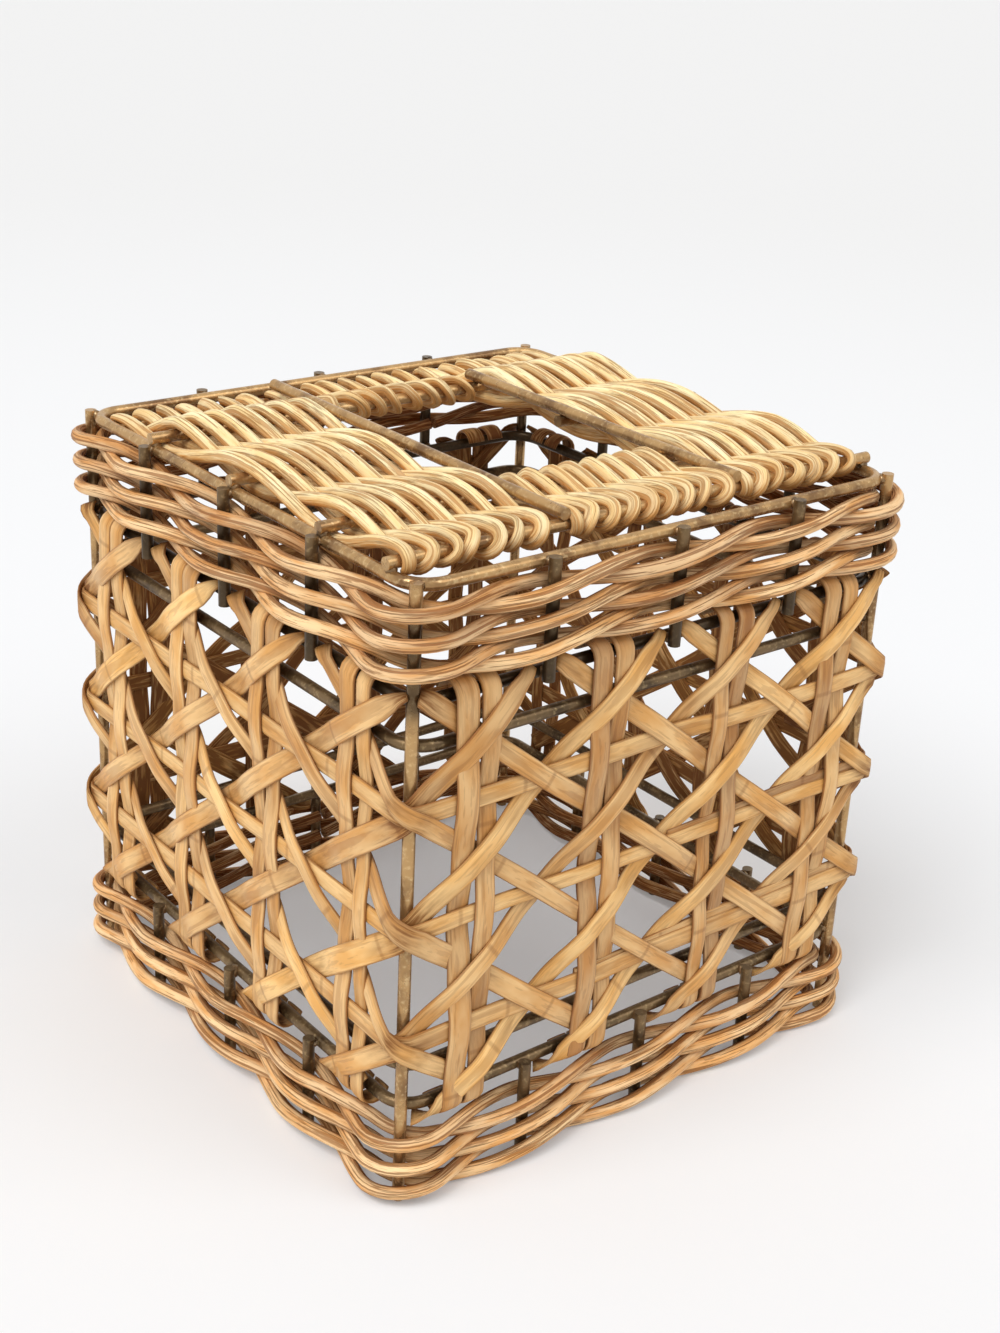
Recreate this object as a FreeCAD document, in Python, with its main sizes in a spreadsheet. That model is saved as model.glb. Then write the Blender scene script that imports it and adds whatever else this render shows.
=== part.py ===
"""Tissue box cover: a welded wire frame woven with round rattan strands and flat cane strips.

Lengths are in millimetres. The origin is the middle of the underside, Z is up, and the four
sides are counted front (facing -Y), right, back and left.
"""
import FreeCAD
import Part

import math
import os

from FreeCAD import Placement, Rotation, Vector

SIDES = ("front", "right", "back", "left")
CORNERS = ("front_left", "front_right", "back_right", "back_left")
STAKES_PER_SIDE = 3
ROWS_PER_BAND = 3
PAIRS_PER_SIDE = 4
HOOPS = ("upper", "middle", "lower")
UP = Vector(0, 0, 1)

# Driving sizes, each one independent of the others.
DRIVING = (
    ("wire_diameter", 2.6),
    ("ring_width", 125.8),
    ("ring_bend", 6.5),
    ("panel_height", 90.4),
    ("brace_distance", 9.5),
    ("foot_gap", 0.4),
    ("strand_diameter", 2.8),
    ("strand_gap", 0.1),
    ("top_strand_diameter", 2.5),
    ("opening_width", 46.0),
    ("outer_spine_inset", 7.9),
    ("back_spine_drop", 3.6),
    ("left_rail_tail", 16.5),
    ("right_rail_tail", 2.5),
    ("cane_width", 5.0),
    ("cane_thickness", 1.2),
    ("cane_edge", 0.55),
    ("cane_gap", 0.15),
    ("pair_gap", 0.4),
    ("lower_share", 0.68),
    ("upper_share", 0.82),
)

# Sizes worked out from the driving ones.
DERIVED = (
    ("twist_reach", "(wire_diameter + strand_diameter) / 2 + strand_gap"),
    ("twist_rise", "(strand_diameter + strand_gap) / 2"),
    ("row_pitch", "2 * twist_rise + strand_diameter + strand_gap"),
    ("stake_line", "ring_width / 2 + wire_diameter"),
    ("post_line", "ring_width / 2 - ring_bend + (ring_bend + wire_diameter) * sqrt(0.5)"),
    ("stake_spacing", "stake_line / 2"),
    ("cane_back", "(wire_diameter + cane_thickness) / 2 + cane_gap"),
    ("cane_layer", "cane_thickness + cane_gap"),
    ("cane_middle", "cane_back + cane_layer"),
    ("cane_front", "cane_middle + cane_layer"),
    ("hook_reach", "cane_middle + cane_thickness / 2 + strand_diameter / 2 + cane_gap"),
    ("band_to_cane_ring", "twist_rise + hook_reach"),
    ("band_to_top_ring", "twist_rise + (wire_diameter + strand_diameter) / 2"),
    ("lowest_row", "foot_gap + twist_rise + strand_diameter / 2"),
    ("band_height", f"{ROWS_PER_BAND - 1} * row_pitch"),
    ("lower_ring_height", "lowest_row + band_height + band_to_cane_ring"),
    ("upper_ring_height", "lower_ring_height + panel_height"),
    ("first_upper_row", "upper_ring_height + band_to_cane_ring"),
    ("top_ring_height", "first_upper_row + band_height + band_to_top_ring"),
    ("spine_height", "top_ring_height + wire_diameter"),
    ("back_spine_height", "spine_height - back_spine_drop"),
    ("rail_height", "spine_height + wire_diameter"),
    ("outer_spine_line", "ring_width / 2 - outer_spine_inset"),
    ("top_reach", "(wire_diameter + top_strand_diameter) / 2 + strand_gap"),
    ("hoop_pitch", f"panel_height / (lower_share + upper_share + {len(HOOPS) - 1})"),
    ("lowest_hoop", "lower_ring_height + lower_share * hoop_pitch"),
    ("pair_half", "(cane_width + pair_gap) / 2"),
)

doc = FreeCAD.newDocument("TissueBoxCover")
sheet = doc.addObject("Spreadsheet::Sheet", "sizes")
for row, (alias, value) in enumerate(DRIVING, start=1):
    sheet.set(f"A{row}", alias)
    sheet.set(f"B{row}", str(value))
    sheet.setAlias(f"B{row}", alias)
doc.recompute()
for row, (alias, formula) in enumerate(DERIVED, start=len(DRIVING) + 1):
    sheet.set(f"A{row}", alias)
    sheet.set(f"B{row}", f"={formula}")
    sheet.setAlias(f"B{row}", alias)
    doc.recompute()


def size(alias):
    """Return the value of one cell of the sheet as a plain number."""
    return float(sheet.get(alias))


# Wire frame: straight rods, bent rings and groups of rods.
ROD_TURN = {
    "x": Rotation(Vector(0, 1, 0), 90),
    "y": Rotation(Vector(1, 0, 0), -90),
    "z": Rotation(),
}


def rod(name, along, start, length):
    """Add a straight wire that runs from start along one axis; its sizes are expressions."""
    wire = doc.addObject("Part::Cylinder", name)
    wire.setExpression("Radius", "sizes.wire_diameter / 2")
    wire.setExpression("Height", length)
    wire.Placement = Placement(Vector(), ROD_TURN[along])
    for axis, place in zip("xyz", start):
        wire.setExpression(f"Placement.Base.{axis}", place)
    return wire


def group(name, members):
    """Add one named group of separate wires."""
    bundle = doc.addObject("Part::Compound", name)
    bundle.Links = members
    return bundle


def signed(sign, expression):
    """Return the expression with the given sign in front."""
    return f"{'-' if sign < 0 else ''}({expression})"


def bent_ring(name, height):
    """Add a square ring of wire with four bent corners; height is an expression."""
    pieces = []
    straight = "sizes.ring_width / 2 - sizes.ring_bend"
    half = "sizes.ring_width / 2"
    for sign in (-1, 1):
        start_x = (signed(-1, straight), signed(sign, half), height)
        start_y = (signed(sign, half), signed(-1, straight), height)
        pieces.append(rod(f"{name}_bar_x{sign}", "x", start_x, f"2 * ({straight})"))
        pieces.append(rod(f"{name}_bar_y{sign}", "y", start_y, f"2 * ({straight})"))
    for turn, (sign_x, sign_y) in enumerate(((1, 1), (-1, 1), (-1, -1), (1, -1))):
        bend = doc.addObject("Part::Torus", f"{name}_bend_{turn}")
        bend.setExpression("Radius1", "sizes.ring_bend")
        bend.setExpression("Radius2", "sizes.wire_diameter / 2")
        bend.Angle3 = 90
        bend.Placement = Placement(Vector(), Rotation(UP, 90 * turn))
        bend.setExpression("Placement.Base.x", signed(sign_x, straight))
        bend.setExpression("Placement.Base.y", signed(sign_y, straight))
        bend.setExpression("Placement.Base.z", height)
        pieces.append(bend)
    ring = doc.addObject("Part::MultiFuse", name)
    ring.Shapes = pieces
    return ring


nodes = [
    bent_ring("top_ring", "sizes.top_ring_height"),
    bent_ring("upper_ring", "sizes.upper_ring_height"),
    bent_ring("upper_brace_ring", "sizes.upper_ring_height - sizes.brace_distance"),
    bent_ring("lower_brace_ring", "sizes.lower_ring_height + sizes.brace_distance"),
    bent_ring("lower_ring", "sizes.lower_ring_height"),
]

RING_TOP = "sizes.top_ring_height + sizes.wire_diameter / 2"
CORNER_SIGNS = ((-1, -1), (1, -1), (1, 1), (-1, 1))
for corner, signs in zip(CORNERS, CORNER_SIGNS):
    foot = [signed(sign, "sizes.post_line") for sign in signs]
    nodes.append(rod(f"corner_post_{corner}", "z", (*foot, "0"), RING_TOP))


def stake_foot(side, place):
    """Return the x and y expressions of one stake; place counts from the middle of the side."""
    outward = 1 if side in ("right", "back") else -1
    line = signed(outward, "sizes.stake_line")
    along = f"{place} * sizes.stake_spacing"
    return (along, line) if side in ("front", "back") else (line, along)


STAKE_PLACES = tuple(range(-(STAKES_PER_SIDE // 2), STAKES_PER_SIDE // 2 + 1))
for side in SIDES:
    upper = []
    lower = []
    upper_foot = "sizes.upper_ring_height - sizes.wire_diameter / 2"
    lower_top = "sizes.lower_ring_height + sizes.wire_diameter / 2"
    for place in STAKE_PLACES:
        foot = stake_foot(side, place)
        upper_start = (*foot, upper_foot)
        upper.append(rod(f"upper_stake_{side}_{place}", "z", upper_start, f"{RING_TOP} - ({upper_foot})"))
        lower.append(rod(f"lower_stake_{side}_{place}", "z", (*foot, "0"), lower_top))
    nodes.append(group(f"upper_stakes_{side}", upper))
    nodes.append(group(f"lower_stakes_{side}", lower))

# Top: spine wires lie across the ring, apart from the back one, which is set lower, between the
# ring's sides. Two rails on the spines edge the tissue opening and end behind the back inner
# spine, the left one further on than the right one.
SPINE_END = "sizes.ring_width / 2 + sizes.wire_diameter / 2"
INSIDE_RING = "sizes.ring_width / 2 - sizes.wire_diameter / 2 - sizes.strand_gap"
SPINES = {
    "front": ("-sizes.outer_spine_line", "sizes.spine_height", SPINE_END),
    "front_inner": ("-sizes.stake_spacing", "sizes.spine_height", SPINE_END),
    "back_inner": ("sizes.stake_spacing", "sizes.spine_height", SPINE_END),
    "back": ("sizes.outer_spine_line", "sizes.back_spine_height", INSIDE_RING),
}
for name, (line, height, end) in SPINES.items():
    start = (signed(-1, end), line, height)
    nodes.append(rod(f"top_spine_{name}", "x", start, f"2 * ({end})"))
RAIL_LINE = "sizes.opening_width / 2"
SHORT_SPINE = f"{SPINE_END} - {RAIL_LINE} + sizes.wire_diameter / 2"
left_start = (signed(-1, SPINE_END), "0", "sizes.spine_height")
right_start = (f"{RAIL_LINE} - sizes.wire_diameter / 2", "0", "sizes.spine_height")
nodes.append(rod("top_spine_middle_left", "x", left_start, SHORT_SPINE))
nodes.append(rod("top_spine_middle_right", "x", right_start, SHORT_SPINE))
RAIL_FRONT = "sizes.outer_spine_line + sizes.wire_diameter / 2"
for sign, side in ((-1, "left"), (1, "right")):
    start = (signed(sign, RAIL_LINE), signed(-1, RAIL_FRONT), "sizes.rail_height")
    length = f"{RAIL_FRONT} + sizes.stake_spacing + sizes.{side}_rail_tail"
    nodes.append(rod(f"opening_rail_{side}", "y", start, length))
doc.recompute()


# Round strands follow smooth chains of arcs.
def arc_from_tangent(start, tangent, end):
    """Return the arc, or line, that leaves start along tangent and reaches end."""
    chord = end - start
    lean = tangent.getAngle(chord)
    if lean < 1e-6:
        return Part.LineSegment(start, end).toShape()
    across = tangent - chord * (tangent.dot(chord) / chord.dot(chord))
    across.normalize()
    crown = (start + end) / 2 + across * (chord.Length / 2 * math.tan(lean / 2))
    return Part.Arc(start, crown, end).toShape()


def two_arcs(start, start_tangent, end, end_tangent):
    """Return two arcs that join two points and leave both along their tangents."""
    chord = end - start
    both = start_tangent + end_tangent
    bend = 2 * (1 - start_tangent.dot(end_tangent))
    reach = chord.dot(both)
    if bend < 1e-9:
        stride = chord.dot(chord) / (2 * reach)
    else:
        stride = (math.sqrt(reach * reach + bend * chord.dot(chord)) - reach) / bend
    middle = (start + end + (start_tangent - end_tangent) * stride) / 2
    second = arc_from_tangent(end, end_tangent * -1, middle)
    return [arc_from_tangent(start, start_tangent, middle), second]


def tube(stations, diameter):
    """Return a round strand through stations, each one a point and a tangent."""
    edges = []
    for (start, start_tangent), (end, end_tangent) in zip(stations, stations[1:]):
        edges += two_arcs(start, start_tangent, end, end_tangent)
    path = Part.Wire(Part.__sortEdges__(edges))
    start, tangent = stations[0]
    section = Part.Wire(Part.Circle(start, tangent, diameter / 2).toShape())
    return path.makePipeShell([section], True, False)


def add_shape(name, shape):
    """Add one piece, or group of pieces, whose form is a woven path."""
    piece = doc.addObject("Part::Feature", name)
    piece.Shape = shape
    nodes.append(piece)


# Frame line of the bands: a square through the stakes whose corners pass through the posts.
def side_axes(side):
    """Return the directions along and out of a side, by its number."""
    turn = Rotation(UP, 90 * side)
    return turn.multVec(Vector(1, 0, 0)), turn.multVec(Vector(0, -1, 0))


class RoundedSquare:
    """A square line with round corners, measured from the middle of the front left corner."""

    def __init__(self, half, corner):
        self.straight = half - corner
        self.corner = corner
        self.quarter = corner * math.pi / 4
        self.side = 2 * (self.straight + self.quarter)

    def at(self, distance, outward=0.0):
        """Return the point, direction and outward normal at a distance along the line."""
        side = math.floor(distance / self.side)
        along, out = side_axes(side)
        local = distance - side * self.side - self.side / 2
        past = abs(local) - self.straight
        if past <= 0:
            return along * local + out * (self.straight + self.corner + outward), along, out
        angle = math.copysign(past / self.corner, local)
        normal = out * math.cos(angle) + along * math.sin(angle)
        direction = along * math.cos(angle) - out * math.sin(angle)
        centre = along * math.copysign(self.straight, local) + out * self.straight
        return centre + normal * (self.corner + outward), direction, normal


band_corner = (size("stake_line") - size("post_line")) / (1 - math.sqrt(0.5))
band_line = RoundedSquare(size("stake_line"), band_corner)
STAKES_AROUND = 4 * (STAKES_PER_SIDE + 1)


def stake_distance(number):
    """Return how far along the band line a stake or post is; corner posts are 0, 4, 8 and 12."""
    side, place = divmod(number, STAKES_PER_SIDE + 1)
    if place == 0:
        return side * band_line.side
    return (side + 0.5) * band_line.side + (place - 2) * size("stake_spacing")


def twined_point(turn, height, first_out):
    """Return a point of a strand that winds half a turn from each stake to the next."""
    stake = math.floor(turn)
    share = turn - stake
    lap, number = divmod(stake, STAKES_AROUND)
    lap_length = 4 * band_line.side
    start = stake_distance(number)
    end = stake_distance(number + 1)
    distance = lap * lap_length + start + share * (end - start)
    phase = math.pi * turn
    point, _, _ = band_line.at(distance, first_out * size("twist_reach") * math.cos(phase))
    return point + UP * (height + first_out * size("twist_rise") * math.sin(phase))


def twined_strand(height, first_out):
    """Return one strand of a twined row; it starts and ends inside a stake of the back."""
    first = 2 * (STAKES_PER_SIDE + 1) + (1 if first_out > 0 else 2)
    end_gap = size("strand_gap") / size("stake_spacing")
    steps = []
    for stake in range(first, first + STAKES_AROUND):
        beside_corner = stake % (STAKES_PER_SIDE + 1) in (0, STAKES_PER_SIDE)
        parts = 4 if beside_corner else 2
        steps += [stake + part / parts for part in range(parts)]
    steps.append(first + STAKES_AROUND - end_gap)
    steps[0] += end_gap
    nudge = 1e-4
    stations = []
    for turn in steps:
        ahead = twined_point(turn + nudge, height, first_out)
        behind = twined_point(turn - nudge, height, first_out)
        tangent = ahead - behind
        tangent.normalize()
        stations.append((twined_point(turn, height, first_out), tangent))
    return tube(stations, size("strand_diameter"))


for band, lowest in (("upper", size("first_upper_row")), ("lower", size("lowest_row"))):
    for row in range(ROWS_PER_BAND):
        height = lowest + row * size("row_pitch")
        add_shape(f"{band}_band_row_{row + 1}_a", twined_strand(height, 1))
        add_shape(f"{band}_band_row_{row + 1}_b", twined_strand(height, -1))


# Top weave: one long strand per field runs back and forth over and under the spines.
def woven_field(spines, first_x, last_x, start_over):
    """Return the strand of one field of the top, over spines that are given by place and height."""
    diameter = size("top_strand_diameter")
    count = int(abs(last_x - first_x) / (diameter + size("strand_gap"))) + 1
    pitch = (last_x - first_x) / (count - 1)
    reach = size("top_reach")
    stations = []
    over = start_over
    for number in range(count):
        x = first_x + number * pitch
        heading = Vector(0, 1 if number % 2 == 0 else -1, 0)
        crossings = spines if number % 2 == 0 else spines[::-1]
        for y, height in crossings:
            stations.append((Vector(x, y, height + over * reach), heading))
            over = -over
        if number < count - 1:
            over = -over
            lean = Vector(pitch, 0, -over * 2 * reach)
            lean.normalize()
            turn = Vector(x + pitch / 2, y + heading.y * reach, height)
            stations.append((turn, lean))
            over = -over
    return tube(stations, diameter)


spine_lines = [-size("outer_spine_line"), -size("stake_spacing"), 0.0, size("stake_spacing")]
spines = [(line, size("spine_height")) for line in spine_lines]
spines.append((size("outer_spine_line"), size("back_spine_height")))
strand_to_wire = (size("wire_diameter") + size("top_strand_diameter")) / 2 + size("strand_gap")
outer_x = size("ring_width") / 2 - strand_to_wire
beside_rail = size("opening_width") / 2 + strand_to_wire
inside_rail = size("opening_width") / 2 - strand_to_wire
add_shape("top_weave_left", woven_field(spines, -outer_x, -beside_rail, 1))
add_shape("top_weave_right", woven_field(spines, beside_rail, outer_x, 1))
add_shape("top_weave_front", woven_field(spines[:2], -inside_rail, inside_rail, 1))
add_shape("top_weave_back", woven_field(spines[3:], -inside_rail, inside_rail, -1))

# Cane panels: the flat strips lie in three layers outside the rings.
panel_line = RoundedSquare(size("ring_width") / 2 + size("cane_middle"), size("cane_middle"))
CELL = panel_line.side / PAIRS_PER_SIDE
PITCH = size("hoop_pitch")
LAYER = size("cane_layer")
BACK = size("cane_back")
MIDDLE = size("cane_middle")
FRONT = size("cane_front")
RINGS = (size("lower_ring_height"), size("upper_ring_height"))
HOOP_HEIGHTS = [size("lowest_hoop") + number * PITCH for number in range(len(HOOPS))]
SLOPE = PITCH / CELL
LEAN = math.atan(SLOPE)
HALF_WIDTH = size("cane_width") / 2
STRIP_STEP = 0.8


def panel_point(around, height, outward):
    """Return a point and normal of a panel; past a ring the height winds round that ring."""
    point, _, normal = panel_line.at(around, outward - MIDDLE)
    low, high = RINGS
    if low <= height <= high:
        return point + UP * height, normal
    ring = low if height < low else high
    wrap = (height - ring) / outward
    flat = point - normal * outward
    face = normal * math.cos(wrap) + UP * math.sin(wrap)
    return flat + UP * ring + face * outward, face


def ease(value, low, high):
    """Return 0 up to low and 1 from high, with a smooth change between."""
    share = min(max((value - low) / (high - low), 0.0), 1.0)
    return (1 - math.cos(math.pi * share)) / 2


def cane_corners(centre, across, out, half_width):
    """Return the corners of a strip's section: flat inside, crowned outside, with thin edges."""
    half = size("cane_thickness") / 2
    edge = size("cane_edge") - half
    outline = (
        (-half_width, -half),
        (half_width, -half),
        (half_width, edge),
        (half_width / 2, half),
        (-half_width / 2, half),
        (-half_width, edge),
    )
    return [centre + across * side + out * rise for side, rise in outline]


def closed_outline(corners):
    """Return the wire through the corners and back to the first one."""
    return Part.makePolygon([*corners, corners[0]])


def cane_strip(path, start, end, slants):
    """Return a strip whose path gives the place around, height and layer at each height.

    Slanting strips are ruled up the panel and uprights across it, so that both stay clear of
    the layers beside them where they bend round a post or a ring.
    """
    count = max(2, round((end - start) / STRIP_STEP))
    half_width = HALF_WIDTH / math.cos(LEAN) if slants else HALF_WIDTH
    sections = []
    for number in range(count + 1):
        around, height, outward = path(start + (end - start) * number / count)
        centre, face = panel_point(around, height, outward)
        level = panel_line.at(around)[1]
        across = face.cross(level) if slants else level
        sections.append(cane_corners(centre, across, face, half_width))
    edges = []
    for rail in zip(*sections):
        curve = Part.BSplineCurve()
        curve.interpolate(Points=list(rail), Parameters=[float(number) for number in range(count + 1)])
        edges.append(curve.toShape())
    faces = [Part.makeRuledSurface(first, second) for first, second in zip(edges, edges[1:] + edges[:1])]
    faces += [Part.Face(closed_outline(corners)) for corners in (sections[0], sections[-1])]
    skin = Part.Shell(faces)
    skin.sewShape()
    strip = Part.Solid(skin)
    if strip.Volume < 0:
        strip.reverse()
    return strip


def upright(around, first_front):
    """Return an upright strip that passes the hoops in front and behind by turns."""
    full = HALF_WIDTH + size("cane_gap")
    clear = PITCH / 2 - (size("pair_half") + HALF_WIDTH) * SLOPE - HALF_WIDTH / math.cos(LEAN)

    def path(height):
        outward = MIDDLE
        side = first_front
        for hoop in HOOP_HEIGHTS:
            outward += side * LAYER * (1 - ease(abs(height - hoop), full, clear))
            side = -side
        return around, height, outward

    wrap = MIDDLE * math.radians(190)
    return cane_strip(path, RINGS[0] - wrap, RINGS[1] + wrap, slants=False)


def diagonal(node, rising):
    """Return a slanting strip; rising ones pass in front of uprights and falling ones behind."""
    beside_pair = size("pair_half") + HALF_WIDTH + size("cane_gap")
    beside_hoop = (HALF_WIDTH + HALF_WIDTH / math.cos(LEAN)) / SLOPE
    at_pair, at_node = (FRONT, BACK) if rising > 0 else (BACK, FRONT)
    top_crossing = HOOP_HEIGHTS[-1] + PITCH / 2
    bottom_crossing = HOOP_HEIGHTS[0] - PITCH / 2

    def path(height):
        around = node * CELL + rising * (height - HOOP_HEIGHTS[1]) / SLOPE
        from_pair = abs(around / CELL - math.floor(around / CELL) - 0.5) * CELL
        share = ease(from_pair, beside_pair, CELL / 2 - beside_hoop)
        if height < bottom_crossing or (height > top_crossing and rising < 0):
            share = 0.0
        return around, height, at_pair + (at_node - at_pair) * share

    wrap = math.radians(35)
    behind_uprights = HALF_WIDTH / math.cos(LEAN) - size("wire_diameter") / 2
    low_end = -wrap * FRONT if rising > 0 else behind_uprights
    return cane_strip(path, RINGS[0] + low_end, RINGS[1] + wrap * BACK, slants=True)


def hoop(height):
    """Return a strip that runs once around the panels and meets itself in the middle of the back."""
    start = 2.5 * panel_line.side + size("cane_gap")
    end = 6.5 * panel_line.side - size("cane_gap")
    stops = [start]
    for corner in range(3, 7):
        corner_line = corner * panel_line.side
        stops += [corner_line - panel_line.quarter, corner_line + panel_line.quarter]
    stops.append(end)
    points = [panel_line.at(stop)[0] + UP * height for stop in stops]
    edges = []
    for number, (first, last) in enumerate(zip(points, points[1:])):
        if number % 2 == 0:
            edges.append(Part.LineSegment(first, last).toShape())
        else:
            middle = panel_line.at((stops[number] + stops[number + 1]) / 2)[0] + UP * height
            edges.append(Part.Arc(first, middle, last).toShape())
    out = panel_line.at(start)[2]
    section = closed_outline(cane_corners(points[0], UP, out, HALF_WIDTH))
    return Part.Wire(edges).makePipeShell([section], True, False)


for name, height in zip(HOOPS, reversed(HOOP_HEIGHTS)):
    add_shape(f"cane_hoop_{name}", hoop(height))
for number, side in enumerate(SIDES):
    first_node = number * PAIRS_PER_SIDE
    pair_middles = [(first_node + pair + 0.5) * CELL for pair in range(PAIRS_PER_SIDE)]
    pairs = []
    for middle in pair_middles:
        pairs += [upright(middle - size("pair_half"), 1), upright(middle + size("pair_half"), -1)]
    own_nodes = range(first_node, first_node + PAIRS_PER_SIDE)
    add_shape(f"cane_uprights_{side}", Part.makeCompound(pairs))
    add_shape(f"cane_rising_{side}", Part.makeCompound([diagonal(node, 1) for node in own_nodes]))
    add_shape(f"cane_falling_{side}", Part.makeCompound([diagonal(node, -1) for node in own_nodes]))

doc.recompute()
for item in doc.Objects:
    if "Invalid" in item.State or "Error" in item.State:
        raise RuntimeError(f"{item.Label} did not build")
os.makedirs("parts", exist_ok=True)
for node in nodes:
    if node.Shape.isNull() or not node.Shape.isValid():
        raise RuntimeError(f"{node.Label} is not a valid shape")
    node.Shape.exportStep(f"parts/{node.Label}.step")
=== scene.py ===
"""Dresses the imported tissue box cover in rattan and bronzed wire, and sets up its studio."""

from __future__ import annotations

import logging
import math
import random
from dataclasses import dataclass, field
from enum import Enum
from typing import Iterable

import bmesh
import bpy
import numpy as np
from mathutils import Matrix, Vector

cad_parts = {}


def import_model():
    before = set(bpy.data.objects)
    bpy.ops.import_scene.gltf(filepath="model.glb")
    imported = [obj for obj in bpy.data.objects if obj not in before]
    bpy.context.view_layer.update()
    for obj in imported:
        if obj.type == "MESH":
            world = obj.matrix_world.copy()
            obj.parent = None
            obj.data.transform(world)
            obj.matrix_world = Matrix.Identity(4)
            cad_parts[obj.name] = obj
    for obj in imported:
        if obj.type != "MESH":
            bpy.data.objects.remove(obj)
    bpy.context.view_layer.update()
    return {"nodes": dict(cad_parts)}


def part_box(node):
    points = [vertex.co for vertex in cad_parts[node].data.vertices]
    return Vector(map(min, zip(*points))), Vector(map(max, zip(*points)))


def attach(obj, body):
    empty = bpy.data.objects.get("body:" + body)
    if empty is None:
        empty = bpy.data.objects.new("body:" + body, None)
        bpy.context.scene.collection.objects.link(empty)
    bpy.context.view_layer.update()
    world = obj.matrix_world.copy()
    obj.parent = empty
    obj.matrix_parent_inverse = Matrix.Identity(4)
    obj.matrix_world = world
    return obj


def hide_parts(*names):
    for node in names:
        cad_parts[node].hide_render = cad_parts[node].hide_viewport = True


log = logging.getLogger("tissue_box_cover")

Color = tuple[float, float, float, float]
Span = tuple[float, float]
Row = tuple[float, float, float, float, float]
Inputs = dict[str | int, object]
Socket = bpy.types.NodeSocket
Array = np.ndarray

MM = 0.001
TINY = 1e-6
UP = np.array([0.0, 0.0, 1.0])
SIDES = ("front", "right", "back", "left")
UV_NAME = "UVMap"
TONE_NAME = "tone"
PAINTED_SHADE_NAME = "painted_shade"
SPINES = ("front", "front_inner", "middle_left", "back_inner", "back")
RINGS = ("top_ring", "upper_ring", "upper_brace_ring", "lower_brace_ring", "lower_ring")
STAKE_RINGS = ("top_ring", "upper_ring", "lower_ring")
BRIGHT_WIRES = ("top_ring", "corner_post_", "top_spine_", "opening_rail_")
SHADED_WIRES = RINGS[1:] + ("upper_stakes_", "lower_stakes_")
PAIRS_PER_SIDE = 4
ROWS_PER_BAND = 3
NOISE_MIDDLE = 0.5


class Slot(Enum):
    """Material slots of the record."""

    WIRE = "bronzed_wire"
    CANE = "flat_cane"
    BAND = "band_strand"
    TOP = "top_strand"


# Finishes


class ShaderTree:
    """A small helper that adds and links nodes in a node tree."""

    def __init__(self, tree: bpy.types.NodeTree) -> None:
        """Keep the tree that the nodes go into."""
        self.tree = tree

    def add(self, kind: str, inputs: Inputs | None = None, **settings: object) -> bpy.types.Node:
        """Add a node.

        Args:
            kind: Node type without the ShaderNode prefix.
            inputs: What its input sockets are fed with, by name or number.
            settings: Attributes to set on the node before that.

        Returns:
            The new node.
        """
        node = self.tree.nodes.new(f"ShaderNode{kind}")
        for name, value in settings.items():
            setattr(node, name, value)
        self.feed(node, inputs or {})
        return node

    def feed(self, node: bpy.types.Node, inputs: Inputs) -> None:
        """Set input sockets to numbers or colours, or link other sockets to them.

        Args:
            node: Node whose inputs are fed.
            inputs: Number, colour or output socket for each input's name or number.
        """
        for key, source in inputs.items():
            if isinstance(source, Socket):
                self.tree.links.new(source, node.inputs[key])
            else:
                node.inputs[key].default_value = source

    def math(self, operation: str, *values: object) -> Socket:
        """Return the result of a math node fed with numbers or sockets."""
        return self.add("Math", dict(enumerate(values)), operation=operation).outputs[0]

    def noise(self, place: Socket, scale: float, detail: float) -> Socket:
        """Return the value of a noise texture at a place."""
        return self.add("TexNoise", {"Vector": place, "Scale": scale, "Detail": detail}).outputs["Fac"]

    def ramp(self, value: Socket, start: float, full: float) -> Socket:
        """Return a value that rises smoothly from 0 at start to 1 at full, on either side of start."""
        inputs = {"Value": value, "From Min": start, "From Max": full}
        return self.add("MapRange", inputs, interpolation_type="SMOOTHSTEP").outputs[0]

    def mix(self, share: object, first: object, second: object) -> Socket:
        """Return the mix of two colours."""
        return self.add("Mix", {0: share, 6: first, 7: second}, data_type="RGBA").outputs[2]

    def bump(self, height: Socket, strength: float, relief: float) -> Socket:
        """Return normals that follow a height."""
        inputs = {"Strength": strength, "Distance": relief, "Height": height}
        return self.add("Bump", inputs).outputs["Normal"]

    def seen(self) -> Socket:
        """Return 1 for camera, glossy and transmission rays, and 0 for rays that only carry light."""
        rays = self.add("LightPath").outputs
        direct = self.math("MAXIMUM", rays["Is Camera Ray"], rays["Is Glossy Ray"])
        return self.math("MAXIMUM", direct, rays["Is Transmission Ray"])


def new_material(name: str) -> tuple[bpy.types.Material, ShaderTree, bpy.types.Node]:
    """Make a material with nodes.

    Args:
        name: Name of the material.

    Returns:
        The material, its node tree and its main shader.
    """
    material = bpy.data.materials.new(name)
    material.use_nodes = True
    return material, ShaderTree(material.node_tree), material.node_tree.nodes["Principled BSDF"]


@dataclass(frozen=True)
class FibrePattern:
    """Noise on a strand: how fast it changes along the strand and around it."""

    lengthwise: float
    around: float
    detail: float = 3.0


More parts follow.
